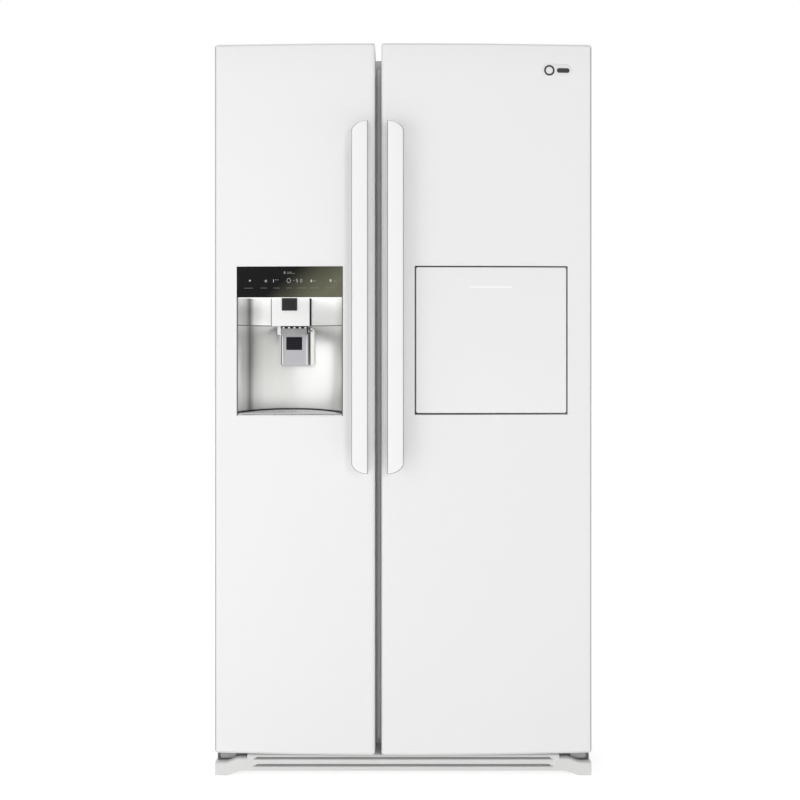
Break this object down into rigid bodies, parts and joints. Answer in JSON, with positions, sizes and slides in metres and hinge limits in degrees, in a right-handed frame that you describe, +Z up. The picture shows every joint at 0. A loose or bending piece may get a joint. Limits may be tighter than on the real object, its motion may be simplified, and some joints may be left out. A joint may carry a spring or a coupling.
{
  "type": "side by side refrigerator",
  "caption": "White side by side refrigerator with two gently curved doors, tall bar handles, an ice dispenser recess and a fold-down home bar door.",
  "frame": {"origin": "on the floor under the middle of the bounding box, which includes the door handles", "axes": "+Z up, -Y is the side of the doors, +X to the right as seen from the front"},
  "size_m": [0.894, 0.769, 1.753],
  "materials": {
    "white_paint": "gloss",
    "white_handle": "gloss",
    "white_liner": "satin",
    "grey_plastic": "matte",
    "kick_plastic": "satin",
    "grey_rubber": "matte",
    "foam": "matte",
    "zinc_steel": "satin",
    "dark_steel": "satin",
    "stainless": "satin",
    "bright_trim": "polished",
    "black_gloss": "gloss",
    "dark_plastic": "matte",
    "silver_plastic": "satin",
    "clear_plastic": "gloss",
    "shelf_glass": "gloss",
    "aluminium_fins": "satin",
    "black_paint": "satin",
    "lamp_lens": "satin",
    "brass_metal": "satin"
  },
  "bodies": {
    "cabinet": {"cabinet_panels": "white_paint", "front_frame": "white_paint", "insulation_foam": "foam", "freezer_liner": "white_liner", "fridge_liner": "white_liner", "back_panel": "zinc_steel", "base_plate": "zinc_steel", "base_rails": "zinc_steel", "compressor": "black_paint", "condenser": "zinc_steel", "fan_shroud": "dark_plastic", "machine_room_cover": "grey_plastic", "water_valve": "brass_metal", "mains_inlet": "dark_plastic", "freezer_shelves": "shelf_glass", "fridge_shelves": "shelf_glass", "ice_bucket": "clear_plastic", "ice_maker": "grey_plastic", "evaporator": "aluminium_fins", "evaporator_cover": "white_liner", "compartment_lamps": "lamp_lens", "lower_hinges": "dark_steel", "upper_hinges": "zinc_steel", "hinge_covers": "white_liner", "base_cover": "kick_plastic"},
    "levelling_leg_left": {"levelling_leg_left": "grey_plastic"},
    "levelling_leg_right": {"levelling_leg_right": "grey_plastic"},
    "rear_roller_left": {"rear_roller_left": "grey_plastic"},
    "rear_roller_right": {"rear_roller_right": "grey_plastic"},
    "condenser_fan": {"condenser_fan": "dark_plastic"},
    "freezer_drawer": {"freezer_drawer": "clear_plastic"},
    "crisper_lower": {"crisper_lower": "clear_plastic"},
    "crisper_upper": {"crisper_upper": "clear_plastic"},
    "freezer_door": {"freezer_door_skin": "white_paint", "freezer_door_core": "foam", "freezer_door_caps": "grey_plastic", "freezer_door_gasket": "grey_rubber", "freezer_door_inner_liner": "white_liner", "freezer_door_handle": "white_handle", "freezer_door_bins": "clear_plastic", "dispenser_housing": "stainless", "dispenser_control_panel": "black_gloss", "dispenser_hood": "bright_trim", "ice_chute": "dark_plastic"},
    "dispenser_lever": {"dispenser_lever": "silver_plastic"},
    "chute_flap": {"chute_flap": "dark_plastic"},
    "drip_tray": {"drip_tray": "silver_plastic"},
    "fridge_door": {"fridge_door_skin": "white_paint", "fridge_door_core": "foam", "fridge_door_caps": "grey_plastic", "fridge_door_gasket": "grey_rubber", "fridge_door_inner_liner": "white_liner", "fridge_door_handle": "white_handle", "fridge_door_bins": "clear_plastic", "name_plate": "bright_trim", "home_bar_frame": "grey_plastic"},
    "home_bar": {"home_bar_door": "white_handle", "home_bar_inner": "white_liner", "home_bar_stays": "zinc_steel"},
    "dairy_lid": {"dairy_lid": "clear_plastic"}
  },
  "joints": [
    {"name": "freezer_door_hinge", "type": "hinge", "parent": "cabinet", "child": "freezer_door", "pos_m": [-0.425, -0.2825, 0.9], "axis": [0, 0, -1], "range_deg": [0, 125]},
    {"name": "fridge_door_hinge", "type": "hinge", "parent": "cabinet", "child": "fridge_door", "pos_m": [0.425, -0.2825, 0.9], "axis": [0, 0, 1], "range_deg": [0, 125]},
    {"name": "home_bar_hinge", "type": "hinge", "parent": "fridge_door", "child": "home_bar", "pos_m": [0.03, -0.33443, 0.869], "axis": [0.9994, 0.0333, 0], "range_deg": [0, 90]},
    {"name": "dispenser_lever_pivot", "type": "hinge", "parent": "freezer_door", "child": "dispenser_lever", "pos_m": [-0.259, -0.285, 1.058], "axis": [1, 0, 0], "range_deg": [0, 6], "stiffness_Nm_per_rad": 0.3},
    {"name": "chute_flap_pivot", "type": "hinge", "parent": "freezer_door", "child": "chute_flap", "pos_m": [-0.266, -0.297, 1.074], "axis": [1, 0, 0], "range_deg": [0, 60]},
    {"name": "drip_tray_slide", "type": "slide", "parent": "freezer_door", "child": "drip_tray", "axis": [0, -1, 0], "range_m": [0, 0.08]},
    {"name": "dairy_lid_hinge", "type": "hinge", "parent": "fridge_door", "child": "dairy_lid", "pos_m": [0.18, -0.15, 1.566], "axis": [1, 0, 0], "range_deg": [0, 75]},
    {"name": "freezer_drawer_slide", "type": "slide", "parent": "cabinet", "child": "freezer_drawer", "axis": [0, -1, 0], "range_m": [0, 0.1]},
    {"name": "crisper_lower_slide", "type": "slide", "parent": "cabinet", "child": "crisper_lower", "axis": [0, -1, 0], "range_m": [0, 0.05]},
    {"name": "crisper_upper_slide", "type": "slide", "parent": "cabinet", "child": "crisper_upper", "axis": [0, -1, 0], "range_m": [0, 0.05]},
    {"name": "condenser_fan_spin", "type": "hinge", "parent": "cabinet", "child": "condenser_fan", "pos_m": [-0.107, 0.25, 0.15], "axis": [1, 0, 0], "continuous": true},
    {"name": "roller_left_spin", "type": "hinge", "parent": "cabinet", "child": "rear_roller_left", "pos_m": [-0.42, 0.33, 0.018], "axis": [1, 0, 0], "continuous": true},
    {"name": "roller_right_spin", "type": "hinge", "parent": "cabinet", "child": "rear_roller_right", "pos_m": [0.42, 0.33, 0.018], "axis": [1, 0, 0], "continuous": true},
    {"name": "leg_left_turn", "type": "hinge", "parent": "cabinet", "child": "levelling_leg_left", "pos_m": [-0.42, -0.205, 0.005], "axis": [0, 0, 1], "continuous": true},
    {"name": "leg_right_turn", "type": "hinge", "parent": "cabinet", "child": "levelling_leg_right", "pos_m": [0.42, -0.205, 0.005], "axis": [0, 0, 1], "continuous": true}
  ],
  "couplings": [
    {"joint": "chute_flap_pivot", "follows": "dispenser_lever_pivot", "ratio": 10}
  ]
}
